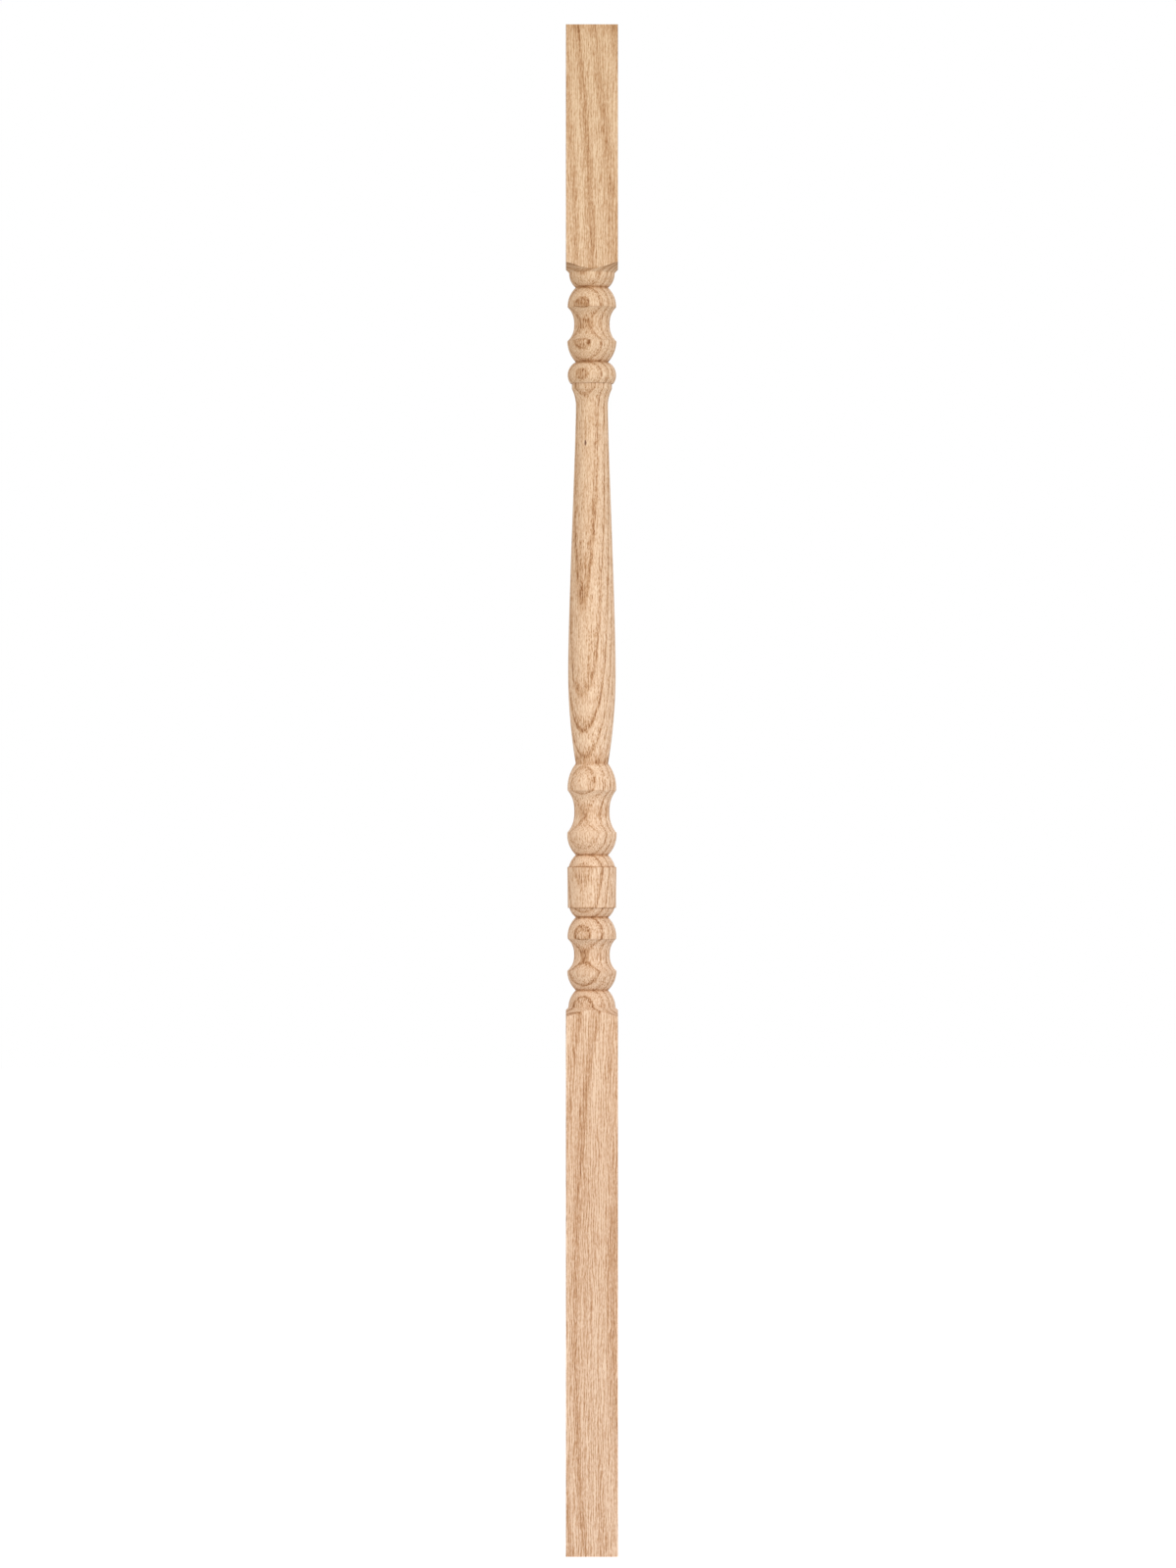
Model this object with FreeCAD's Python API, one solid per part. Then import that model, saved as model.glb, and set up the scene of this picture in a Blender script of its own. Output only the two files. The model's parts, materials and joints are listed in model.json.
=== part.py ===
import FreeCAD, Part
import math
import os

# Block-turned stair baluster: one square bar of wood, turned round between two square blocks.
# Frame: +Z up the axis of the turning, origin at the centre of the bottom end, front face towards -Y.
# Lengths are millimetres, angles are degrees. Every "bulge" is the height of an arc over its chord.

# Square bar and its two blocks, each measured from its end to the inner edge of its shoulder
SQUARE = 33.7
ARRIS_RADIUS = 0.5
FOOT_BLOCK = 354.5
HEAD_BLOCK = 160.1

# Hollow shoulder where the cutter ran out into the square, the same at both blocks
SHOULDER_RADIUS = 21.0
SHOULDER_ANGLE = 50.0

# Cone that the lathe centre left in each end
CENTRE_MARK_DIA = 5.0
CENTRE_MARK_ANGLE = 60.0

# Diameter at the bottom of every quirk, the narrow groove between two mouldings
QUIRK_DIA = 21.0

# Half bead that rises from the foot block
FOOT_BEAD_DIA = 30.4
FOOT_BEAD_HEIGHT = 11.0
FOOT_BEAD_BULGE = 1.2

# Spools: a ball, a hollow and a ball, with sharp edges at the hollow
SPOOL_LOWER_EDGE_DIA = 31.9
SPOOL_UPPER_EDGE_DIA = 31.4
HOLLOW_EASE = 0.15
LOWER_SPOOL_LOWER_BALL = 12.5
LOWER_SPOOL_LOWER_BULGE = 1.4
LOWER_SPOOL_HOLLOW = 20.9
LOWER_SPOOL_WAIST_DIA = 23.1
LOWER_SPOOL_UPPER_BALL = 13.8
LOWER_SPOOL_UPPER_BULGE = 1.7
MIDDLE_SPOOL_LOWER_BALL = 14.5
MIDDLE_SPOOL_LOWER_BULGE = 1.7
MIDDLE_SPOOL_HOLLOW = 27.3
MIDDLE_SPOOL_WAIST_DIA = 22.8
MIDDLE_SPOOL_UPPER_BALL = 17.5
MIDDLE_SPOOL_UPPER_BULGE = 1.7
UPPER_SPOOL_LOWER_BALL = 13.4
UPPER_SPOOL_LOWER_BULGE = 1.3
UPPER_SPOOL_HOLLOW = 22.2
UPPER_SPOOL_WAIST_DIA = 23.0
UPPER_SPOOL_UPPER_BALL = 12.7
UPPER_SPOOL_UPPER_BULGE = 1.5

# Barrel between the lower and middle spools, with a half round and a ledge at each end
BARREL_LENGTH = 26.3
BARREL_LOWER_DIA = 31.2
BARREL_UPPER_DIA = 31.8
BARREL_LEDGE_SLOPE = 0.6
LOWER_ROUND_DIA = 29.1
LOWER_ROUND_HEIGHT = 6.1
UPPER_ROUND_DIA = 29.8
UPPER_ROUND_HEIGHT = 7.4
ROUND_BULGE = 0.65

# Long vase: its lower curve, its belly, and the slow ogee from the belly up to the neck
VASE_LOWER_HEIGHT = 59.1
VASE_BELLY_DIA = 30.8
VASE_OGEE_HEIGHT = 173.0
VASE_BELLY_HOLD = 42.5
VASE_NECK_HOLD = 27.5
NECK_DIA = 20.8

# Neck hollow, collar and ring at the top of the vase
NECK_HOLLOW_HEIGHT = 10.9
COLLAR_DIA = 26.0
COLLAR_HEIGHT = 3.4
RING_LOWER_DIA = 27.8
RING_DIA = 31.4
RING_CREST_HEIGHT = 6.1
RING_HEIGHT = 14.0

# Half bead that runs into the head block
HEAD_BEAD_DIA = 29.5
HEAD_BEAD_HEIGHT = 9.4
HEAD_BEAD_BULGE = 1.2

# Room between the square bar's corner and the outside of the turning blank
BLANK_MARGIN = 1.0


class Outline:
    """Half outline of the turning in the XZ plane, drawn upwards from the centre of the bottom end."""

    def __init__(self):
        self.end = FreeCAD.Vector(0, 0, 0)
        self.edges = []

    def add(self, curve, end):
        self.edges.append(curve.toShape())
        self.end = end

    def line(self, diameter, rise):
        end = FreeCAD.Vector(diameter / 2, 0, self.end.z + rise)
        self.add(Part.LineSegment(self.end, end), end)

    def arc(self, diameter, rise, bulge):
        """Circular arc whose middle stands out from its chord by the bulge, inwards if negative."""
        end = FreeCAD.Vector(diameter / 2, 0, self.end.z + rise)
        chord = end - self.end
        outward = FreeCAD.Vector(chord.z, 0, -chord.x).normalize()
        middle = (self.end + end) * 0.5 + outward * bulge
        self.add(Part.Arc(self.end, middle, end), end)

    def arc_through(self, crest_diameter, crest_rise, diameter, rise):
        crest = FreeCAD.Vector(crest_diameter / 2, 0, self.end.z + crest_rise)
        end = FreeCAD.Vector(diameter / 2, 0, self.end.z + rise)
        self.add(Part.Arc(self.end, crest, end), end)

    def upright_arc(self, diameter, rise, side):
        """Arc that stands parallel to the axis at its fatter (side 1) or thinner (side -1) end."""
        step = abs(diameter / 2 - self.end.x)
        lean = math.atan2(step, rise)
        self.arc(diameter, rise, side * math.hypot(step, rise) / 2 * math.tan(lean / 2))

    def ogee(self, diameter, rise, lower_hold, upper_hold):
        """Double curve, parallel to the axis at both ends and for about the length of each hold."""
        end = FreeCAD.Vector(diameter / 2, 0, self.end.z + rise)
        poles = [
            self.end,
            self.end + FreeCAD.Vector(0, 0, lower_hold),
            end - FreeCAD.Vector(0, 0, upper_hold),
            end,
        ]
        self.bezier(poles)

    def hollow(self, waist_diameter, diameter, rise):
        """Cove between two sharp edges, made of two like halves that meet at its waist."""
        waist = FreeCAD.Vector(waist_diameter / 2, 0, self.end.z + rise / 2)
        end = FreeCAD.Vector(diameter / 2, 0, self.end.z + rise)
        self.bezier(half_hollow(self.end, waist))
        self.bezier(half_hollow(end, waist)[::-1])

    def bezier(self, poles):
        curve = Part.BezierCurve()
        curve.setPoles(poles)
        self.add(curve, poles[-1])

    def solid(self):
        """Closes the outline along the axis and turns it once round."""
        self.line(0, 0)
        self.edges.append(Part.LineSegment(self.end, FreeCAD.Vector(0, 0, 0)).toShape())
        face = Part.Face(Part.Wire(self.edges))
        return face.revolve(FreeCAD.Vector(0, 0, 0), FreeCAD.Vector(0, 0, 1), 360)


def half_hollow(edge, waist):
    """Poles from an edge to the waist, whose depth grows by about the cube of the distance from it."""
    third = (edge - waist) / 3
    steep = FreeCAD.Vector(waist.x + (edge.x - waist.x) * HOLLOW_EASE, 0, waist.z + 2 * third.z)
    upright = FreeCAD.Vector(waist.x, 0, waist.z + third.z)
    return [edge, steep, upright, waist]


def shoulder_flat_diameter(bead_diameter):
    """Diameter at which a shoulder's arc has turned square to the axis."""
    return bead_diameter + 2 * SHOULDER_RADIUS * math.sin(math.radians(SHOULDER_ANGLE))


def shoulder_rise():
    return SHOULDER_RADIUS * (1 - math.cos(math.radians(SHOULDER_ANGLE)))


def shoulder_bulge():
    """Negative, because the shoulder is hollow: it lies inside its chord."""
    return -SHOULDER_RADIUS * (1 - math.cos(math.radians(SHOULDER_ANGLE / 2)))


def blank_diameter():
    """Outside of the turning blank, clear of the bar's corners and of both shoulders."""
    flats = [shoulder_flat_diameter(dia) for dia in (FOOT_BEAD_DIA, HEAD_BEAD_DIA)]
    return max(SQUARE * math.sqrt(2), *flats) + BLANK_MARGIN


def foot_block(outline):
    outline.line(blank_diameter(), 0)
    outline.line(blank_diameter(), FOOT_BLOCK - shoulder_rise())
    outline.line(shoulder_flat_diameter(FOOT_BEAD_DIA), 0)
    outline.arc(FOOT_BEAD_DIA, shoulder_rise(), shoulder_bulge())
    outline.arc(QUIRK_DIA, FOOT_BEAD_HEIGHT, FOOT_BEAD_BULGE)


def spool(outline, lower_ball, lower_bulge, hollow, waist_diameter, upper_ball, upper_bulge):
    outline.arc(SPOOL_LOWER_EDGE_DIA, lower_ball, lower_bulge)
    outline.hollow(waist_diameter, SPOOL_UPPER_EDGE_DIA, hollow)
    outline.arc(QUIRK_DIA, upper_ball, upper_bulge)


def barrel(outline):
    outline.arc(LOWER_ROUND_DIA, LOWER_ROUND_HEIGHT, ROUND_BULGE)
    outline.line(BARREL_LOWER_DIA, 0)
    outline.line(BARREL_UPPER_DIA, BARREL_LENGTH)
    outline.line(UPPER_ROUND_DIA, BARREL_LEDGE_SLOPE)
    outline.arc(QUIRK_DIA, UPPER_ROUND_HEIGHT, ROUND_BULGE)


def vase(outline):
    outline.upright_arc(VASE_BELLY_DIA, VASE_LOWER_HEIGHT, 1)
    outline.ogee(NECK_DIA, VASE_OGEE_HEIGHT, VASE_BELLY_HOLD, VASE_NECK_HOLD)


def collar_and_ring(outline):
    outline.upright_arc(COLLAR_DIA, NECK_HOLLOW_HEIGHT, -1)
    outline.line(COLLAR_DIA, COLLAR_HEIGHT)
    outline.line(RING_LOWER_DIA, 0)
    outline.arc_through(RING_DIA, RING_CREST_HEIGHT, QUIRK_DIA, RING_HEIGHT)


def head_block(outline):
    outline.arc(HEAD_BEAD_DIA, HEAD_BEAD_HEIGHT, HEAD_BEAD_BULGE)
    outline.arc(shoulder_flat_diameter(HEAD_BEAD_DIA), shoulder_rise(), shoulder_bulge())
    outline.line(blank_diameter(), 0)
    outline.line(blank_diameter(), HEAD_BLOCK - shoulder_rise())


def turning_outline():
    """The whole half outline, from the bottom end up to the top end."""
    outline = Outline()
    foot_block(outline)
    spool(
        outline,
        LOWER_SPOOL_LOWER_BALL,
        LOWER_SPOOL_LOWER_BULGE,
        LOWER_SPOOL_HOLLOW,
        LOWER_SPOOL_WAIST_DIA,
        LOWER_SPOOL_UPPER_BALL,
        LOWER_SPOOL_UPPER_BULGE,
    )
    barrel(outline)
    spool(
        outline,
        MIDDLE_SPOOL_LOWER_BALL,
        MIDDLE_SPOOL_LOWER_BULGE,
        MIDDLE_SPOOL_HOLLOW,
        MIDDLE_SPOOL_WAIST_DIA,
        MIDDLE_SPOOL_UPPER_BALL,
        MIDDLE_SPOOL_UPPER_BULGE,
    )
    vase(outline)
    collar_and_ring(outline)
    spool(
        outline,
        UPPER_SPOOL_LOWER_BALL,
        UPPER_SPOOL_LOWER_BULGE,
        UPPER_SPOOL_HOLLOW,
        UPPER_SPOOL_WAIST_DIA,
        UPPER_SPOOL_UPPER_BALL,
        UPPER_SPOOL_UPPER_BULGE,
    )
    head_block(outline)
    return outline


def square_bar(length):
    """Square bar on the axis with its four long arrises eased."""
    corner = FreeCAD.Vector(-SQUARE / 2, -SQUARE / 2, 0)
    bar = Part.makeBox(SQUARE, SQUARE, length, corner)
    arrises = [edge for edge in bar.Edges if abs(edge.tangentAt(edge.FirstParameter).z) > 0.5]
    return bar.makeFillet(ARRIS_RADIUS, arrises)


def centre_mark(height, into):
    """Cone that the lathe centre presses into an end, pointing up (into 1) or down (into -1)."""
    depth = CENTRE_MARK_DIA / 2 / math.tan(math.radians(CENTRE_MARK_ANGLE / 2))
    mouth = FreeCAD.Vector(0, 0, height)
    return Part.makeCone(CENTRE_MARK_DIA / 2, 0, depth, mouth, FreeCAD.Vector(0, 0, into))


def make_baluster():
    outline = turning_outline()
    length = outline.end.z
    turned = square_bar(length).common(outline.solid())
    return turned.cut(centre_mark(0, 1)).cut(centre_mark(length, -1)).Solids[0]


os.makedirs("parts", exist_ok=True)
baluster = make_baluster()
baluster.exportStep("parts/baluster.step")
print("length", baluster.BoundBox.ZLength, "volume", baluster.Volume, "valid", baluster.isValid())
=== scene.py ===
"""Bare oak stair baluster, block-turned, in a plain white studio.

One bar of oak: square blocks at the foot and the head, and a turning between them. The bar's mesh is a grid
of meridians, and the finish is solid oak whose growth rings are cut by the turned shape. The bar's own sizes
are in millimetres and the studio's in metres. +Z runs up the axis and the front face looks towards -Y.
"""

from __future__ import annotations

import json
import logging
import math
from dataclasses import dataclass, field
from enum import Enum
from typing import Any, Sequence, Union

import bpy
import numpy as np
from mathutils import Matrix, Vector

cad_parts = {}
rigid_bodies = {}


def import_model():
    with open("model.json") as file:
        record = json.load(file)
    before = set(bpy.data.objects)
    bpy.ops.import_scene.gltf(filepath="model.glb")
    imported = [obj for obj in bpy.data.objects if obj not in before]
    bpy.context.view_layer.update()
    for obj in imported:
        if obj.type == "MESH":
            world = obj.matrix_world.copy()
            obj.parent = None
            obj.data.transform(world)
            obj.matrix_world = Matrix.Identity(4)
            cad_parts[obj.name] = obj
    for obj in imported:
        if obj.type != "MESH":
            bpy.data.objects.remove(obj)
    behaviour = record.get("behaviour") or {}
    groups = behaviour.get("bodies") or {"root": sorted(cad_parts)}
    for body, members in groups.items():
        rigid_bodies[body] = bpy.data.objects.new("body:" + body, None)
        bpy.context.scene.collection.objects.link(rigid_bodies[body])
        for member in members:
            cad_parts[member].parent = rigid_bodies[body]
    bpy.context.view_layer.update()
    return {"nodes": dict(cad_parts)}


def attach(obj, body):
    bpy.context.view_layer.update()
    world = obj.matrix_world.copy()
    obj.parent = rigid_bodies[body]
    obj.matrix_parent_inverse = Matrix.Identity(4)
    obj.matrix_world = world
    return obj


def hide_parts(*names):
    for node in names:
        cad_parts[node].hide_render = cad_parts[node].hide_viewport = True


LOG = logging.getLogger("baluster")
MM = 0.001
PER_METRE = 1000.0
WHITE = (1.0, 1.0, 1.0, 1.0)
Colour = tuple[float, float, float, float]
Hill = tuple[float, float, float, float]
Number = Union[float, "Wire"]
Span = tuple[float, float]
Stretches = tuple[float, float, float]


class End(Enum):
    """Which end of the bar a block or shoulder belongs to; the value is the way the end looks along Z."""

    FOOT = -1
    HEAD = 1


class Lean(Enum):
    """Which end of an arc stands parallel to the axis; the value is the sign of the arc's bulge."""

    FAT_END = 1
    THIN_END = -1


@dataclass
class Spool:
    """A ball, a hollow and a ball, in millimetres, listed upwards.

    Attributes:
        lower_ball: Height of the ball under the hollow.
        lower_bulge: Height of that ball's arc over its chord.
        hollow: Height of the hollow between its two sharp edges.
        waist: Diameter at the middle of the hollow.
        upper_ball: Height of the ball over the hollow.
        upper_bulge: Height of that ball's arc over its chord.
    """

    lower_ball: float
    lower_bulge: float
    hollow: float
    waist: float
    upper_ball: float
    upper_bulge: float


@dataclass
class Outline:
    """Half outline of the turning, drawn upwards as samples of radius and height in millimetres.

    Attributes:
        radius: Radius at the outline's upper end so far.
        height: Height of that end.
        step: Length that one sample of a curve covers.
        least_steps: Fewest samples that a run has.
        runs: The samples of each run.
    """

    radius: float
    height: float
    step: float = 0.85
    least_steps: int = 3
    runs: list[np.ndarray] = field(default_factory=list)

    def add(self, points: np.ndarray) -> None:
        """Adds a run of samples, without its first one, which the outline already holds."""
        self.runs.append(points[1:])
        self.radius, self.height = points[-1]

    def samples(self, length: float) -> np.ndarray:
        """Returns even parameters from 0 to 1 for a run of this length."""
        steps = max(self.least_steps, math.ceil(length / self.step))
        return np.linspace(0.0, 1.0, steps + 1)[:, None]

    def line(self, diameter: float, rise: float) -> None:
        """Adds a straight run: p = start + t (end - start)."""
        start = np.array([self.radius, self.height])
        end = np.array([diameter / 2, self.height + rise])
        t = np.linspace(0.0, 1.0, self.least_steps + 1)[:, None]
        self.add(start + t * (end - start))

    def arc(self, diameter: float, rise: float, bulge: float) -> None:
        """Adds a circular arc that stands out from its chord c by the bulge b.

        The arc is the rational quadratic curve whose corner stands over the chord's middle by
        2 b / (1 - b^2 / (c/2)^2) and whose middle weight is the cosine of half the arc's angle.

        Args:
            diameter: Diameter at the arc's upper end.
            rise: Height of the arc along the axis.
            bulge: Height over the chord, outwards if positive.
        """
        start = np.array([self.radius, self.height])
        end = np.array([diameter / 2, self.height + rise])
        chord = end - start
        half = np.hypot(*chord) / 2
        angle = 2 * math.atan(bulge / half)
        outward = np.array([chord[1], -chord[0]]) / (2 * half)
        corner = (start + end) / 2 + outward * half * math.tan(angle)
        weight = math.cos(angle)
        t = self.samples(2 * half)
        low, mid, high = (1 - t) ** 2, 2 * weight * t * (1 - t), t**2
        self.add((low * start + mid * corner + high * end) / (low + mid + high))

    def upright_arc(self, diameter: float, rise: float, lean: Lean) -> None:
        """Adds an arc parallel to the axis at one end.

        Its bulge is half the chord times the tangent of half the chord's slope.

        Args:
            diameter: Diameter at the arc's upper end.
            rise: Height of the arc along the axis.
            lean: Which end stands parallel to the axis.
        """
        step = abs(diameter / 2 - self.radius)
        slope = math.atan2(step, rise)
        self.arc(diameter, rise, lean.value * math.hypot(step, rise) / 2 * math.tan(slope / 2))

    def arc_through(self, crest: tuple[float, float], diameter: float, rise: float) -> None:
        """Adds the arc through a crest.

        The centre solves 2 (p - start) . centre = p . p - start . start for the crest and the end.

        Args:
            crest: Diameter of the crest, and its height above the start.
            diameter: Diameter at the arc's upper end.
            rise: Height of the arc along the axis.
        """
        start = np.array([self.radius, self.height])
        top = np.array([crest[0] / 2, self.height + crest[1]])
        end = np.array([diameter / 2, self.height + rise])
        system = 2 * np.array([top - start, end - start])
        centre = np.linalg.solve(system, np.array([top @ top - start @ start, end @ end - start @ start]))
        size = np.hypot(*(start - centre))
        chord = np.hypot(*(end - start))
        to_chord = math.sqrt(max(size**2 - chord**2 / 4, 0.0))
        along, inward = end - start, centre - start
        side = 1 if along[1] * inward[0] - along[0] * inward[1] > 0 else -1
        self.arc(diameter, rise, size + side * to_chord)

    def cubic(self, poles: Sequence[np.ndarray], length: float) -> None:
        """Adds the cubic curve (1-t)^3 a + 3t(1-t)^2 b + 3t^2(1-t) c + t^3 d."""
        a, b, c, d = poles
        t = self.samples(length)
        self.add((1 - t) ** 3 * a + 3 * t * (1 - t) ** 2 * b + 3 * t**2 * (1 - t) * c + t**3 * d)

    def ogee(self, diameter: float, rise: float, lower_hold: float, upper_hold: float) -> None:
        """Adds a double curve, parallel to the axis at both ends for about the length of each hold."""
        start = np.array([self.radius, self.height])
        end = np.array([diameter / 2, self.height + rise])
        self.cubic([start, start + [0, lower_hold], end - [0, upper_hold], end], rise / 2)

    def hollow(self, waist: float, diameter: float, rise: float, ease: float) -> None:
        """Adds a cove whose depth grows by about the cube of the distance from its waist."""
        start = np.array([self.radius, self.height])
        middle = np.array([waist / 2, self.height + rise / 2])
        end = np.array([diameter / 2, self.height + rise])
        for edge, upwards in ((start, False), (end, True)):
            reach = edge - middle
            poles = [middle, middle + reach * [0, 1 / 3], middle + reach * [ease, 2 / 3], edge]
            self.cubic(poles if upwards else poles[::-1], rise / 2)

    def points(self) -> np.ndarray:
        """Returns all samples as an array of radius and height."""
        return np.concatenate(self.runs)


@dataclass
class Turning:
    """Sizes of the turned stretch, in millimetres, from the foot bead up to the head bead.

    Attributes:
        quirk: Diameter of the sharp grooves between the forms.
        foot_bead, head_bead: Diameter at the shoulder, height and bulge of each half bead.
        edge_under_hollow, edge_over_hollow: Diameters of the sharp edges at each spool's hollow.
        hollow_ease: Share of a hollow's depth that its curve's second pole stands out from the waist.
        lower_spool, middle_spool, upper_spool: Under the barrel, under the vase and over the ring.
        barrel_length, barrel_lower, barrel_upper: Length of the barrel, and the diameters at its edges.
        barrel_ledge_slope: Height over which the upper ledge runs in.
        lower_round, upper_round: Diameter at its ledge, and height, of each half round at the barrel.
        round_bulge: Height of the half rounds' arcs over their chords.
        vase_lower, vase_belly: Height from the vase's lower quirk to its belly, and the belly's diameter.
        vase_ogee: Height from the belly to the neck.
        vase_belly_hold, vase_neck_hold: How long that double curve keeps upright at each end.
        neck, neck_hollow: Diameter of the neck, and height of the hollow from there to the collar.
        collar: Diameter and height of the collar.
        ring_lower: Diameter of the ring's lower edge.
        ring_crest: Diameter of the ring's crest, and its height above the lower edge.
        ring_height: Height of the ring.
    """

    quirk: float = 21.0
    foot_bead: tuple[float, float, float] = (30.4, 11.0, 1.2)
    head_bead: tuple[float, float, float] = (29.5, 9.4, 1.2)
    edge_under_hollow: float = 31.9
    edge_over_hollow: float = 31.4
    hollow_ease: float = 0.15
    lower_spool: Spool = field(default_factory=lambda: Spool(12.5, 1.4, 20.9, 23.1, 13.8, 1.7))
    middle_spool: Spool = field(default_factory=lambda: Spool(14.5, 1.7, 27.3, 22.8, 17.5, 1.7))
    upper_spool: Spool = field(default_factory=lambda: Spool(13.4, 1.3, 22.2, 23.0, 12.7, 1.5))
    barrel_length: float = 26.3
    barrel_lower: float = 31.2
    barrel_upper: float = 31.8
    barrel_ledge_slope: float = 0.6
    lower_round: tuple[float, float] = (29.1, 6.1)
    upper_round: tuple[float, float] = (29.8, 7.4)
    round_bulge: float = 0.65
    vase_lower: float = 59.1
    vase_belly: float = 30.8
    vase_ogee: float = 173.0
    vase_belly_hold: float = 42.5
    vase_neck_hold: float = 27.5
    neck: float = 20.8
    neck_hollow: float = 10.9
    collar: tuple[float, float] = (26.0, 3.4)
    ring_lower: float = 27.8
    ring_crest: tuple[float, float] = (31.4, 6.1)
    ring_height: float = 14.0

    def spool(self, outline: Outline, spool: Spool) -> None:
        """Draws one spool from the quirk under it to the quirk over it."""
        outline.arc(self.edge_under_hollow, spool.lower_ball, spool.lower_bulge)
        outline.hollow(spool.waist, self.edge_over_hollow, spool.hollow, self.hollow_ease)
        outline.arc(self.quirk, spool.upper_ball, spool.upper_bulge)

    def barrel(self, outline: Outline) -> None:
        """Draws the barrel with its two half rounds and ledges."""
        outline.arc(*self.lower_round, self.round_bulge)
        outline.line(self.barrel_lower, 0.0)
        outline.line(self.barrel_upper, self.barrel_length)
        outline.line(self.upper_round[0], self.barrel_ledge_slope)
        outline.arc(self.quirk, self.upper_round[1], self.round_bulge)

    def vase_and_ring(self, outline: Outline) -> None:
        """Draws the vase, its neck and collar, and the ring on top."""
        outline.upright_arc(self.vase_belly, self.vase_lower, Lean.FAT_END)
        outline.ogee(self.neck, self.vase_ogee, self.vase_belly_hold, self.vase_neck_hold)
        outline.upright_arc(self.collar[0], self.neck_hollow, Lean.THIN_END)
        outline.line(*self.collar)
        outline.line(self.ring_lower, 0.0)
        outline.arc_through(self.ring_crest, self.quirk, self.ring_height)

    def outline(self, start_height: float) -> np.ndarray:
        """Draws the whole turning.

        Args:
            start_height: Height of the foot block's inner shoulder edge, in millimetres.

        Returns:
            Samples of radius and height in millimetres, without the point at the foot shoulder.
        """
        outline = Outline(self.foot_bead[0] / 2, start_height)
        outline.arc(self.quirk, self.foot_bead[1], self.foot_bead[2])
        self.spool(outline, self.lower_spool)
        self.barrel(outline)
        self.spool(outline, self.middle_spool)
        self.vase_and_ring(outline)
        self.spool(outline, self.upper_spool)
        outline.arc(*self.head_bead)
        return outline.points()


@dataclass
class SquareBar:
    """The square section of the blocks, in millimetres.

    Attributes:
        square: Side of the square.
        arris: Radius of its four long edges.
        flat_steps: Grid columns on each flat face.
        arris_steps: Grid columns round each long edge.
        edge_hold: Width of the narrow grid column beside each long edge, which keeps the flats flat.
    """

    square: float = 33.7
    arris: float = 0.5
    flat_steps: int = 30
    arris_steps: int = 4
    edge_hold: float = 0.12

    def section(self) -> np.ndarray:
        """Returns the section's points, anticlockwise from the right-hand face, as x and y in millimetres.

        One quarter is the flat x = h with y rising evenly by angle, then the arc h - a + a (cos b, sin b).
        """
        half = self.square / 2
        straight = half - self.arris
        inner = straight - self.edge_hold
        reach = math.atan2(inner, half)
        rise = half * np.tan(np.linspace(-reach, reach, self.flat_steps))
        rise = np.concatenate([rise, [straight]])
        flat = np.stack([np.full_like(rise, half), rise], 1)
        angles = np.linspace(0.0, math.pi / 2, self.arris_steps + 1)[1:]
        arc = straight + self.arris * np.stack([np.cos(angles), np.sin(angles)], 1)
        quarter = np.concatenate([flat, arc])
        quarter_turn = np.array([[0, -1], [1, 0]])
        turns = [np.linalg.matrix_power(quarter_turn, count) for count in range(4)]
        return np.concatenate([quarter @ turn.T for turn in turns])


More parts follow.
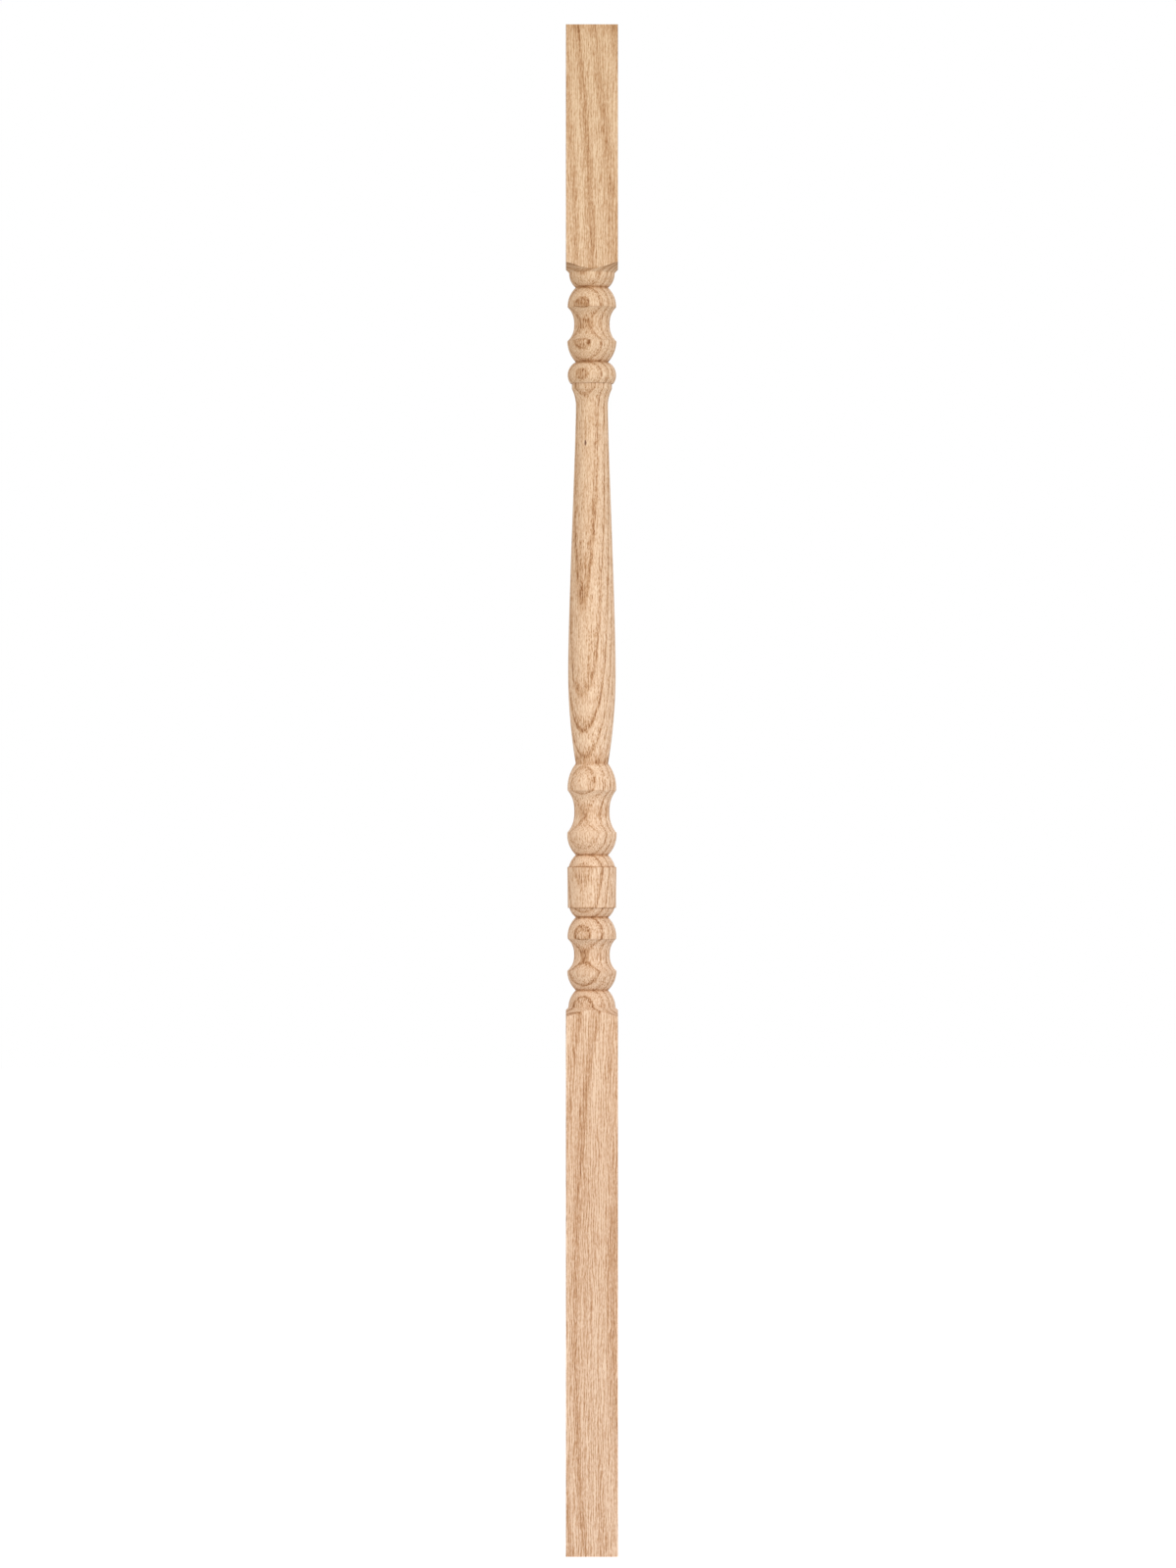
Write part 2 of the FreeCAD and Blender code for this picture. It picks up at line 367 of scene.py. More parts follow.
@dataclass
class Baluster:
    """The whole bar: its blocks, shoulders, turning and ends, and how they become one mesh.

    Attributes:
        node: Name of the solid that the mesh stands for.
        slot: Material slot of that solid; not used.
        bar: The square section of the blocks.
        turning: The turned stretch between them.
        foot_block: Length from the bottom end to the inner edge of the foot shoulder, in millimetres.
        head_block: Length from the inner edge of the head shoulder to the top end, in millimetres.
        shoulder_radius: Radius of the hollow shoulders.
        shoulder_angle: Slope of the shoulders at their inner edge, in degrees from square to the axis.
        centre_mark: Diameter of the cone that the lathe centre left in each end.
        centre_mark_angle: Full angle of that cone, in degrees.
        block_rows: Grid rows along each block.
        shoulder_rows: Grid rows over each shoulder.
        end_rows: Grid rows across each end face.
        sharp_angle: Edges that bend by more than this many degrees stay sharp.
    """

    node: str = "baluster"
    slot: str = "oak"
    bar: SquareBar = field(default_factory=SquareBar)
    turning: Turning = field(default_factory=Turning)
    foot_block: float = 354.5
    head_block: float = 160.1
    shoulder_radius: float = 21.0
    shoulder_angle: float = 50.0
    centre_mark: float = 5.0
    centre_mark_angle: float = 60.0
    block_rows: int = 24
    shoulder_rows: int = 10
    end_rows: int = 5
    sharp_angle: float = 27.0

    def shoulder_rise(self, radius: np.ndarray, inner: float) -> np.ndarray:
        """Returns how far a shoulder has run from its inner edge, along the axis, at each radius.

        The shoulder is an arc of radius R that starts at angle A: rise = R (cos a - cos A), where
        sin a = sin A - (radius - inner) / R.
        """
        start = math.radians(self.shoulder_angle)
        sine = np.clip(math.sin(start) - (radius - inner) / self.shoulder_radius, 0.0, 1.0)
        return self.shoulder_radius * (np.sqrt(1 - sine**2) - math.cos(start))

    def end_face(self, reach: np.ndarray, height: float, end: End) -> tuple[np.ndarray, np.ndarray]:
        """Lays an end face outwards from the mouth of its centre mark.

        Args:
            reach: Distance from the axis to the section's outline on each meridian.
            height: Height of the face.
            end: Which end it is.

        Returns:
            Radii and heights on the grid of rows and meridians, from the cone's mouth to the outline.
        """
        t = np.linspace(0.0, 1.0, self.end_rows)[:, None]
        mouth = self.centre_mark / 2
        radii = mouth + t * (reach[None] - mouth)
        heights = np.full_like(radii, height)
        return (radii, heights) if end is End.FOOT else (radii[::-1], heights)

    def block(
        self, reach: np.ndarray, inner: float, shoulder: float, end: End
    ) -> tuple[np.ndarray, np.ndarray]:
        """Lays a block's faces and its shoulder, each meridian ending exactly where the arc cuts the face.

        Args:
            reach: Distance from the axis to the section's outline on each meridian.
            inner: Radius at the shoulder's inner edge.
            shoulder: Height of that inner edge.
            end: Which end the block is at.

        Returns:
            Radii and heights on the grid of rows and meridians, listed upwards.
        """
        outer_end = 0.0 if end is End.FOOT else self.length()
        cut = shoulder + end.value * self.shoulder_rise(reach, inner)
        t = np.linspace(0.0, 1.0, self.block_rows)[1:, None]
        face_radii = np.repeat(reach[None], len(t), axis=0)
        face_heights = outer_end + t * (cut - outer_end)
        s = np.linspace(0.0, 1.0, self.shoulder_rows)[1:, None]
        arc_radii = reach + s * (inner - reach)
        arc_heights = shoulder + end.value * self.shoulder_rise(arc_radii, inner)
        radii = np.concatenate([face_radii, arc_radii])
        heights = np.concatenate([face_heights, arc_heights])
        return (radii, heights) if end is End.FOOT else (radii[::-1], heights[::-1])

    def length(self) -> float:
        """Returns the bar's whole length in millimetres."""
        return float(self.turning.outline(self.foot_block)[-1, 1]) + self.head_block

    def grid(self) -> np.ndarray:
        """Works out the bar as rows of points, one row round the bar at each step along its outline.

        A point is (r cos q, r sin q, z): q is its meridian's angle, and r and z follow the end face, the
        block, the shoulder, the turning, and then the same parts of the head.

        Returns:
            Points in metres, shaped rows by meridians by three.
        """
        section = self.bar.section()
        reach = np.hypot(section[:, 0], section[:, 1])
        angle = np.arctan2(section[:, 1], section[:, 0])
        turned = self.turning.outline(self.foot_block)
        shoulder = float(turned[-1, 1])
        ones = np.ones_like(reach)
        parts = [
            self.end_face(reach, 0.0, End.FOOT),
            self.block(reach, self.turning.foot_bead[0] / 2, self.foot_block, End.FOOT),
            (turned[:, :1] * ones, turned[:, 1:] * ones),
            tuple(a[1:] for a in self.block(reach, self.turning.head_bead[0] / 2, shoulder, End.HEAD)),
            self.end_face(reach, self.length(), End.HEAD),
        ]
        radii = np.concatenate([part[0] for part in parts])
        heights = np.concatenate([part[1] for part in parts])
        return np.stack([radii * np.cos(angle), radii * np.sin(angle), heights], 2) * MM

    def build(self) -> bpy.types.Object:
        """Makes the mesh: quads between the rows, and a fan of triangles down each centre mark.

        Returns:
            The new object, at the origin.
        """
        grid = self.grid()
        rows, around = grid.shape[:2]
        depth = self.centre_mark / 2 / math.tan(math.radians(self.centre_mark_angle / 2)) * MM
        tips = np.array([[0, 0, depth], [0, 0, self.length() * MM - depth]])
        points = np.concatenate([grid.reshape(-1, 3), tips])
        index = np.arange(rows * around).reshape(rows, around)
        after = np.roll(index, -1, axis=1)
        quads = np.stack([index[:-1], after[:-1], after[1:], index[1:]], 2).reshape(-1, 4)
        foot_tip, head_tip = rows * around, rows * around + 1
        foot_fan = np.stack([after[0], index[0], np.full(around, foot_tip)], 1)
        head_fan = np.stack([index[-1], after[-1], np.full(around, head_tip)], 1)
        mesh = bpy.data.meshes.new("oak_baluster")
        mesh.from_pydata(points.tolist(), [], quads.tolist() + foot_fan.tolist() + head_fan.tolist())
        mesh.polygons.foreach_set("use_smooth", np.ones(len(mesh.polygons), dtype=bool))
        mesh.set_sharp_from_angle(angle=math.radians(self.sharp_angle))
        mesh.update()
        piece = bpy.data.objects.new("oak_baluster", mesh)
        bpy.context.scene.collection.objects.link(piece)
        return piece

    def dress(self, piece: bpy.types.Object, finish: OakFinish) -> None:
        """Gives the mesh its oak, and puts it in the place of the plain solid."""
        piece.data.materials.append(finish.material())
        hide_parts(self.node)
        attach(piece, "root")


class Wire:
    """A value on its way through a material's nodes, with arithmetic that adds Math nodes."""

    def __init__(self, graph: Graph, socket: bpy.types.NodeSocket) -> None:
        """Holds a graph and one of its output sockets."""
        self.graph = graph
        self.socket = socket

    def maths(self, operation: str, *values: Number) -> Wire:
        """Returns the result of one Math node on these values."""
        return self.graph.node("ShaderNodeMath", {"operation": operation}, dict(enumerate(values)))

    def __add__(self, other: Number) -> Wire:
        """Returns self + other."""
        return self.maths("ADD", self, other)

    def __sub__(self, other: Number) -> Wire:
        """Returns self - other."""
        return self.maths("SUBTRACT", self, other)

    def __rsub__(self, other: Number) -> Wire:
        """Returns other - self."""
        return self.maths("SUBTRACT", other, self)

    def __mul__(self, other: Number) -> Wire:
        """Returns self * other."""
        return self.maths("MULTIPLY", self, other)

    def __truediv__(self, other: Number) -> Wire:
        """Returns self / other."""
        return self.maths("DIVIDE", self, other)

    def __pow__(self, other: Number) -> Wire:
        """Returns self to the power of other."""
        return self.maths("POWER", self, other)

    def fraction(self) -> Wire:
        """Returns what is left over the whole number below."""
        return self.maths("FRACT", self)

    def size(self) -> Wire:
        """Returns the absolute value."""
        return self.maths("ABSOLUTE", self)

    def root(self) -> Wire:
        """Returns the square root."""
        return self.maths("SQRT", self)

    def ramp(self, low: Number, high: Number, start: Number = 0.0, stop: Number = 1.0) -> Wire:
        """Returns a smooth step from start, at low, to stop, at high, flat on both sides."""
        values = {"Value": self, "From Min": low, "From Max": high, "To Min": start, "To Max": stop}
        return self.graph.node("ShaderNodeMapRange", {"interpolation_type": "SMOOTHSTEP"}, values)

    def hill(self, foot: float, top: float, edge: float, end: float) -> Wire:
        """Returns 0 up to the foot, 1 from the top to the edge, and 0 again from the end on."""
        return self.ramp(foot, top) - self.ramp(edge, end)


class Graph:
    """The node tree of one material or world."""

    def __init__(self, tree: bpy.types.NodeTree) -> None:
        """Empties the tree and keeps it."""
        self.tree = tree
        tree.nodes.clear()

    def node(self, kind: str, settings: dict[str, Any], values: dict[Any, Any], output: Any = 0) -> Wire:
        """Adds any node.

        Args:
            kind: The node's type.
            settings: Properties to set first; "stops" and "curve" fill a ramp or a curve.
            values: Socket values or wires, by socket name or number.
            output: Name or number of the output that is wanted.

        Returns:
            That output.
        """
        made = self.tree.nodes.new(kind)
        for name, value in settings.items():
            if name == "curve":
                self.set_curve(made, value)
            elif name == "stops":
                self.set_stops(made, value)
            else:
                setattr(made, name, value)
        for key, value in values.items():
            if isinstance(value, Wire):
                self.tree.links.new(value.socket, made.inputs[key])
            else:
                made.inputs[key].default_value = value
        return Wire(self, made.outputs[output]) if made.outputs else Wire(self, None)

    def set_curve(self, made: bpy.types.Node, points: Sequence[tuple[float, float]]) -> None:
        """Puts a list of points, in order, into a Float Curve node."""
        line = made.mapping.curves[0]
        for place, point in enumerate(points):
            if place < 2:
                line.points[place].location = point
            else:
                line.points.new(*point)
        made.mapping.update()

    def set_stops(self, made: bpy.types.Node, stops: Sequence[tuple[float, Sequence[float]]]) -> None:
        """Puts a list of places and colours, in order, into a Color Ramp node."""
        ramp = made.color_ramp
        for place, (where, colour) in enumerate(stops):
            stop = ramp.elements[place] if place < 2 else ramp.elements.new(where)
            stop.position = where
            stop.color = colour

    def vector(self, x: Number, y: Number, z: Number) -> Wire:
        """Returns a vector of three values."""
        return self.node("ShaderNodeCombineXYZ", {}, {"X": x, "Y": y, "Z": z})

    def blend(self, share: Number, first: Any, second: Any, mode: str = "MIX") -> Wire:
        """Returns a colour between the first colour and what the mode makes of both."""
        settings = {"data_type": "RGBA", "blend_type": mode}
        return self.node("ShaderNodeMix", settings, {0: share, 6: first, 7: second}, 2)

    def noise(self, place: Wire, detail: float, roughness: float) -> Wire:
        """Returns even noise, about 0 to 1, whose cells are one unit of place across."""
        values = {"Vector": place, "Scale": 1.0, "Detail": detail, "Roughness": roughness}
        return self.node("ShaderNodeTexNoise", {}, values, "Fac")


@dataclass(frozen=True)
class Grain:
    """Noise stretched along the bar.

    Attributes:
        width: Size of its cells across the bar, in millimetres.
        length: Size of its cells along the bar, in millimetres.
        detail: How many layers of finer noise it holds.
        roughness: Share of its strength that each finer layer keeps.
    """

    width: float
    length: float
    detail: float
    roughness: float = 0.5


@dataclass
class Place:
    """Where a point of the bar lies, as wires of lengths in millimetres and of masks from 0 to 1.

    Attributes:
        graph: The graph that the wires run in.
        x, y, z: Distance to the right of the axis, behind it, and height.
        depth, across: Distance from the axis along the rings' outward normal, and along the rings.
        facing: How squarely the surface looks along the axis.
        end, head, turned, square: Masks of the end faces, the head block, the turning and both blocks.
    """

    graph: Graph
    x: Wire
    y: Wire
    z: Wire
    depth: Wire
    across: Wire
    facing: Wire
    end: Wire
    head: Wire
    turned: Wire
    square: Wire

    def noise(self, grain: Grain) -> Wire:
        """Returns the noise at the point, about 0 to 1."""
        cell = self.graph.vector(self.x / grain.width, self.y / grain.width, self.z / grain.length)
        return self.graph.noise(cell, grain.detail, grain.roughness)

    def swing(self, grain: Grain) -> Wire:
        """Returns the noise at the point, about zero."""
        return self.noise(grain) - 0.5

    def amount(self, amount: Stretches) -> Wire:
        """Returns the amount that holds on the point's stretch: foot block, turning or head block."""
        foot, turned, head = amount
        return self.turned * (turned - foot) + self.head * (head - foot) + foot


@dataclass
class Rings:
    """What the growth rings give at a point, as wires.

    Attributes:
        phase: Way from one ring to the next, from 0 to 1.
        band: Porous early wood.
        core: Dark line in the early wood.
        wide: Broad dark and pale stripes of the blocks.
    """

    phase: Wire
    band: Wire
    core: Wire
    wide: Wire


@dataclass
class Fibres:
    """The finer marks at a point, as wires.

    Attributes:
        fibre: Short fibres.
        hair: Thin straight stripes of the blocks.
        dot: Specks.
        ray: Flecks of the rays.
        pore: Open pores, from 0 to 1.
    """

    fibre: Wire
    hair: Wire
    dot: Wire
    ray: Wire
    pore: Wire


# Besides the wood's own marks, this finish paints shade into the sharp grooves and shadow lines at the
# barrel's ledges.
@dataclass(frozen=True)
class OakFinish:
    """Bare, sanded red oak as a solid: growth rings, pores, rays and end grain. Sizes are millimetres.

    A depth is how much darker a mark makes the tone. A hill gives where a mark starts, is full, starts to
    fade and is gone, between one ring and the next.

    Attributes:
        foot_edge, head_edge: Heights between which a block and the turning meet.
        end_facing: How squarely a surface looks along the axis where the end grain starts and is full.
        ring_angle: How far the rings' outward normal is turned from the front towards the left, in degrees.
        ring_radius, ring_gap: Radius of the rings where the bar was cut, and distance between two of them.
        ring_start: Count of rings on the axis where nothing leans.
        lean: How far the rings lean out along the bar, as height and offset, from the foot up.
        slow_wander, quick_wander: Noise that bends the rings, and noise that makes them uneven.
        quick_share: How much of the quick wander is used.
        year_share, turned_strength: How much the rings differ in strength, and what they share when turned.
        early_wood, dark_line: Hills of the porous band and of its dark line.
        band_base, band_share: Strength of the band by itself, and by the ring's own strength.
        broad_stripe, stripe_edge, pale_stripe: Hills of a block's stripe, its darker edge and its pale side.
        stripe_edge_share, pale_share: Strength of that edge and of that side.
        broken_grain: Noise that breaks up the dark lines.
        streak, broad: Noise of the long streaks and of the broad ones.
        short_grain, dot_grain: Noise of the fibres and of the specks.
        fibre_share: Strength of the fibres.
        hair_gap, hair_slant: Distance between thin stripes on the front, and how much denser the sides are.
        hair_shift, hair_bend: Noise that bends the stripes, and by how many gaps.
        hair_fade: Noise that breaks up the stripes.
        ray_size: Size of a ray along the rings, through the rings and along the bar.
        dot_in_pore, band_in_pore: How much specks and early wood open the pores.
        base_tone, late_wood: Tone of the plain wood, and how much paler the late wood is.
        quirk_radii: Radii between which the painted shade in the sharp grooves ends.
        neck_start, neck_end: Heights between which the vase's neck starts and ends, which has no such shade.
        ledges, ledge_shadow_reach: Heights of the narrow ledges, and how far the painted shadow lines along
            them reach.
        end_ring: Hill of the rings on the end faces.
        top_fade: Heights between which the top end darkens.
        speck, speck_size: Height and sideways place of the one dark pin knot, and half its width and height.
        speck_colour, speck_cover: Its colour, and how fully it covers the wood.
        speck_tail: Half the height of the shade over it.
        tones: Colours from the bottom of an open pore up to the palest late wood.
        tint: Colour that the wood is multiplied by at the foot end, the foot block, the lower turning and
            the head end, at heights in metres.
        pore_relief, fibre_relief: How deep the pores and the fibres are in the bump.
        roughness, pore_roughness: Roughness of the plain wood, and what a pore adds.
    """

    foot_edge: Span = (349.0, 353.0)
    head_edge: Span = (826.0, 834.0)
    end_facing: Span = (0.9, 0.97)
    ring_angle: float = 25.0
    ring_radius: float = 95.0
    ring_gap: float = 4.3
    ring_start: float = 1.3
    lean: tuple[Span, ...] = (
        (0, -13),
        (170, -16),
        (340, -11),
        (460, -1),
        (620, 15),
        (800, 23),
        (991, 19),
    )
    slow_wander: Grain = Grain(16.0, 110.0, 1.0)
    quick_wander: Grain = Grain(2.0, 36.0, 2.0, 0.6)
    quick_share: float = 0.35
    year_share: Stretches = (0.2, 0.45, 0.3)
    turned_strength: float = 0.36
    early_wood: Hill = (0.07, 0.14, 0.2, 0.65)
    band_base: Stretches = (0.1, 0.5, 0.1)
    band_share: float = 0.5
    dark_line: Hill = (0.01, 0.1, 0.16, 0.32)
    broad_stripe: Hill = (0.0, 0.22, 0.28, 0.62)
    stripe_edge: Hill = (0.02, 0.1, 0.14, 0.3)
    stripe_edge_share: Stretches = (0.8, 0.8, 0.0)
    pale_stripe: Hill = (0.55, 0.75, 0.85, 1.0)
    pale_share: Stretches = (1.8, 1.8, 1.0)
    broken_grain: Grain = Grain(3.0, 20.0, 2.0, 0.6)
    streak: Grain = Grain(1.8, 90.0, 2.0, 0.6)
    streak_depth: float = 0.12
    broad: Grain = Grain(4.5, 300.0, 1.0)
    broad_depth: Stretches = (0.35, 0.1, 0.23)
    short_grain: Grain = Grain(0.55, 13.0, 1.0)
    fibre_share: Stretches = (0.5, 1.0, 0.5)
    fibre_depth: Stretches = (1.15, 0.95, 1.15)
    dot_grain: Grain = Grain(0.5, 2.2, 1.0)
    dot_depth: Stretches = (0.9, 1.0, 0.9)
    hair_gap: float = 1.6
    hair_slant: float = 1.1
    hair_shift: Grain = Grain(3.5, 22.0, 0.0)
    hair_bend: float = 2.0
    hair_fade: Grain = Grain(1.2, 6.0, 0.0)
    hair_depth: Stretches = (0.36, 0.36, 0.26)
    ray_size: tuple[float, float, float] = (0.5, 7.0, 9.0)
    ray_depth: float = 0.06
    dot_in_pore: float = 0.9
    band_in_pore: float = 0.24
    pore_depth: Stretches = (0.06, 0.21, 0.1)
    base_tone: Stretches = (0.76, 0.78, 0.76)
    late_wood: float = 0.04
    band_depth: Stretches = (0.08, 0.11, 0.08)
    wide_depth: Stretches = (0.7, 0.7, 0.95)
    core_depth: Stretches = (0.32, 0.54, 0.32)
    # Painted shade in the sharp grooves, left off along the vase's neck.
    quirk_radii: Span = (10.5, 12.0)
    quirk_shade_depth: float = 0.3
    neck_start: Span = (600.0, 650.0)
    neck_end: Span = (757.0, 762.0)
    # Painted shadow lines along the barrel's narrow ledges.
    ledges: Span = (418.8, 445.5)
    ledge_shadow_reach: Span = (0.25, 0.9)
    ledge_shadow_depth: float = 0.16
    end_depth: float = 0.27
    end_ring: Hill = (0.0, 0.1, 0.25, 0.6)
    end_ring_depth: float = 0.14
    top_fade: Span = (980.0, 991.0)
    top_depth: float = 0.12
    speck: Span = (720.0, -4.2)
    speck_size: Span = (0.75, 2.1)
    speck_colour: Colour = (0.14, 0.05, 0.03, 1.0)
    speck_cover: float = 0.9
    speck_tail: float = 9.0
    speck_tail_depth: float = 0.22
    tones: tuple[tuple[float, Colour], ...] = (
        (0.0, (0.3, 0.125, 0.048, 1.0)),
        (0.31, (0.49, 0.255, 0.118, 1.0)),
        (0.56, (0.655, 0.398, 0.228, 1.0)),
        (0.78, (0.79, 0.54, 0.36, 1.0)),
        (1.0, (0.94, 0.71, 0.51, 1.0)),
    )
    tint: tuple[tuple[float, Colour], ...] = (
        (0.0, (0.9, 0.9, 0.94, 1.0)),
        (0.25, (0.84, 0.81, 0.81, 1.0)),
        (0.5, (0.94, 0.95, 0.96, 1.0)),
        (1.0, (0.74, 0.72, 0.64, 1.0)),
    )
    pore_relief: float = 0.7
    fibre_relief: float = 0.5
    roughness: float = 0.6
    pore_roughness: float = 0.15

    def place(self, graph: Graph) -> Place:
        """Returns where a point lies, from the Object coordinates and the surface's normal."""
        spot = graph.node("ShaderNodeTexCoord", {}, {}, "Object")
        axes = graph.node("ShaderNodeSeparateXYZ", {}, {0: spot}).socket.node.outputs
        x, y, z = (Wire(graph, axes[axis]) * PER_METRE for axis in "XYZ")
        turn = math.radians(self.ring_angle)
        normal = graph.node("ShaderNodeTexCoord", {}, {}, "Normal")
        facing = graph.node("ShaderNodeSeparateXYZ", {}, {0: normal}, "Z").size()
        head = z.ramp(*self.head_edge)
        turned = z.ramp(*self.foot_edge) - head
        return Place(
            graph=graph,
            x=x,
            y=y,
            z=z,
            depth=x * -math.sin(turn) + y * -math.cos(turn),
            across=x * math.cos(turn) + y * -math.sin(turn),
            facing=facing,
            end=facing.ramp(*self.end_facing),
            head=head,
            turned=turned,
            square=1.0 - turned,
        )

    def leaned(self, at: Place) -> Wire:
        """Returns how far the rings lean out, read off a smooth curve through the lean's points."""
        points = np.array(self.lean, dtype=float)
        low = points.min(0)
        span = points.max(0) - low
        inside = (at.z - float(low[0])) / float(span[0])
        curve = ((points - low) / span).tolist()
        offset = at.graph.node("ShaderNodeFloatCurve", {"curve": curve}, {"Value": inside})
        return offset * float(span[1]) + float(low[1])

    def rings(self, at: Place) -> Rings:
        """Returns the growth rings.

        A point's ring is sqrt((depth + R)^2 + across^2) - R plus the lean and the wander, in millimetres.
        Each ring has its own strength, from white noise of its number.
        """
        ring = ((at.depth + self.ring_radius) ** 2.0 + at.across * at.across).root() - self.ring_radius
        ring = ring + self.leaned(at) + at.swing(self.slow_wander)
        ring = ring + at.swing(self.quick_wander) * self.quick_share
        count = ring / self.ring_gap + self.ring_start
        phase = count.fraction()
        flat = {"noise_dimensions": "1D"}
        year = at.graph.node("ShaderNodeTexWhiteNoise", flat, {"W": count - phase}, "Value")
        strength = year * at.amount(self.year_share) + at.turned * self.turned_strength
        band = phase.hill(*self.early_wood) * (strength * self.band_share + at.amount(self.band_base))
        core = phase.hill(*self.dark_line) * strength * strength
        wide = phase.hill(*self.broad_stripe)
        wide = wide + phase.hill(*self.stripe_edge) * at.amount(self.stripe_edge_share)
        wide = wide - phase.hill(*self.pale_stripe) * strength * at.amount(self.pale_share)
        return Rings(phase, band, core, wide * strength * at.square)

    def hairs(self, at: Place) -> Wire:
        """Returns the thin stripes of the blocks, 4 |fraction - 1/2| - 1, broken up and off the end faces."""
        shift = at.noise(self.hair_shift) * self.hair_bend
        stripe = ((at.x + at.y * self.hair_slant) / self.hair_gap + shift).fraction() - 0.5
        fade = at.noise(self.hair_fade).ramp(0.3, 0.65, 0.1, 1.0)
        return (stripe.size() * 4.0 - 1.0) * fade * at.square * (1.0 - at.end)

    def fibres(self, at: Place, rings: Rings) -> Fibres:
        """Returns the finer marks; a pore opens where fibre, speck and early wood come together."""
        fibre = at.swing(self.short_grain) * at.amount(self.fibre_share)
        dot = at.swing(self.dot_grain)
        wide, deep, tall = self.ray_size
        cell = at.graph.vector(at.across / wide, at.depth / deep, at.z / tall)
        ray = at.graph.noise(cell, 1.0, 0.5).ramp(0.6, 0.68)
        pore = (fibre + dot * self.dot_in_pore + rings.band * self.band_in_pore).ramp(0.2, 0.32)
        return Fibres(fibre, self.hairs(at), dot, ray, pore)

    def tone(self, at: Place, rings: Rings, fibres: Fibres) -> Wire:
        """Returns how pale the wood is, from 0 at the bottom of a pore to 1 in the palest late wood."""
        tone = at.amount(self.base_tone) + at.swing(self.streak) * self.streak_depth
        tone = tone + at.swing(self.broad) * at.amount(self.broad_depth)
        tone = tone + rings.phase.ramp(0.3, 0.75) * self.late_wood
        broken = at.noise(self.broken_grain).ramp(0.36, 0.6, 0.55, 1.0)
        marks = (
            (fibres.fibre, self.fibre_depth),
            (fibres.dot, self.dot_depth),
            (fibres.hair, self.hair_depth),
            (rings.band, self.band_depth),
            (rings.wide, self.wide_depth),
            (rings.core * broken, self.core_depth),
            (fibres.pore, self.pore_depth),
        )
        for mark, depth in marks:
            tone = tone - mark * at.amount(depth)
        return tone - fibres.ray * self.ray_depth

    def painted_shade_and_marks(self, at: Place, rings: Rings, tone: Wire) -> Wire:
        """Returns the tone: painted shade in grooves and on ledges, darker on the ends and over the knot."""
        radius = (at.x * at.x + at.y * at.y).root()
        # Painted shade: the tone darkens in the sharp grooves, but not along the vase's neck.
        quirk = radius.ramp(*self.quirk_radii, self.quirk_shade_depth, 0.0) * at.turned
        tone = tone - quirk * (1.0 - at.z.ramp(*self.neck_start) + at.z.ramp(*self.neck_end))
        # Painted shadow lines at the barrel's narrow ledges.
        for ledge in self.ledges:
            tone = tone - (at.z - ledge).size().ramp(*self.ledge_shadow_reach, self.ledge_shadow_depth, 0.0)
        tone = tone - at.facing.ramp(0.62, 0.95, 0.0, self.end_depth)
        tone = tone - rings.phase.hill(*self.end_ring) * at.end * self.end_ring_depth
        tone = tone - at.z.ramp(*self.top_fade, 0.0, self.top_depth)
        tail = self.from_speck(at, self.speck_tail, self.speck_tail)
        return tone - tail.ramp(0.2, 1.2, self.speck_tail_depth, 0.0)

    def from_speck(self, at: Place, rise: float, reach: float) -> Wire:
        """Returns the squared distance from a mark over the pin knot, on the front only.

        Args:
            at: Where the point lies.
            rise: Height of the mark over the knot.
            reach: Half the mark's own height, at which the distance is 1.
        """
        sideways = ((at.x - self.speck[1]) / self.speck_size[0]) ** 2.0 + at.y.ramp(-2.0, 0.0, 0.0, 9.0)
        return ((at.z - self.speck[0] - rise) / reach) ** 2.0 + sideways

    def colour(self, at: Place, tone: Wire) -> Wire:
        """Returns the wood's colour, with the head end yellower and the foot end pinker, and the pin knot."""
        wood = at.graph.node("ShaderNodeValToRGB", {"stops": self.tones}, {"Fac": tone})
        tint = at.graph.node("ShaderNodeValToRGB", {"stops": self.tint}, {"Fac": at.z / PER_METRE})
        wood = at.graph.blend(1.0, wood, tint, "MULTIPLY")
        knot = self.from_speck(at, 0.0, self.speck_size[1]).ramp(0.2, 1.2, self.speck_cover, 0.0)
        return at.graph.blend(knot, wood, self.speck_colour)

    def material(self) -> bpy.types.Material:
        """Builds the oak.

        Returns:
            The new material.
        """
        made = bpy.data.materials.new("bare_oak")
        made.use_nodes = True
        graph = Graph(made.node_tree)
        at = self.place(graph)
        rings = self.rings(at)
        fibres = self.fibres(at, rings)
        tone = self.painted_shade_and_marks(at, rings, self.tone(at, rings, fibres))
        height = 1.0 - fibres.pore * self.pore_relief - fibres.fibre * self.fibre_relief
        bump = graph.node("ShaderNodeBump", {}, {"Strength": 0.2, "Distance": 0.0001, "Height": height})
        values = {
            "Base Color": self.colour(at, tone),
            "Roughness": fibres.pore * self.pore_roughness + self.roughness,
            "Specular IOR Level": 0.25,
            "Normal": bump,
        }
        shader = graph.node("ShaderNodeBsdfPrincipled", {}, values)
        graph.node("ShaderNodeOutputMaterial", {}, {"Surface": shader})
        return made


@dataclass(frozen=True)
class Lamp:
    """A square soft lamp.

    Attributes:
        name: Its name in the scene.
        place: Where it stands.
        size: Side of the square.
        power: Its light in watts.
        colour: Colour of the light.
    """

    name: str
    place: tuple[float, float, float]
    size: float
    power: float
    colour: tuple[float, float, float]


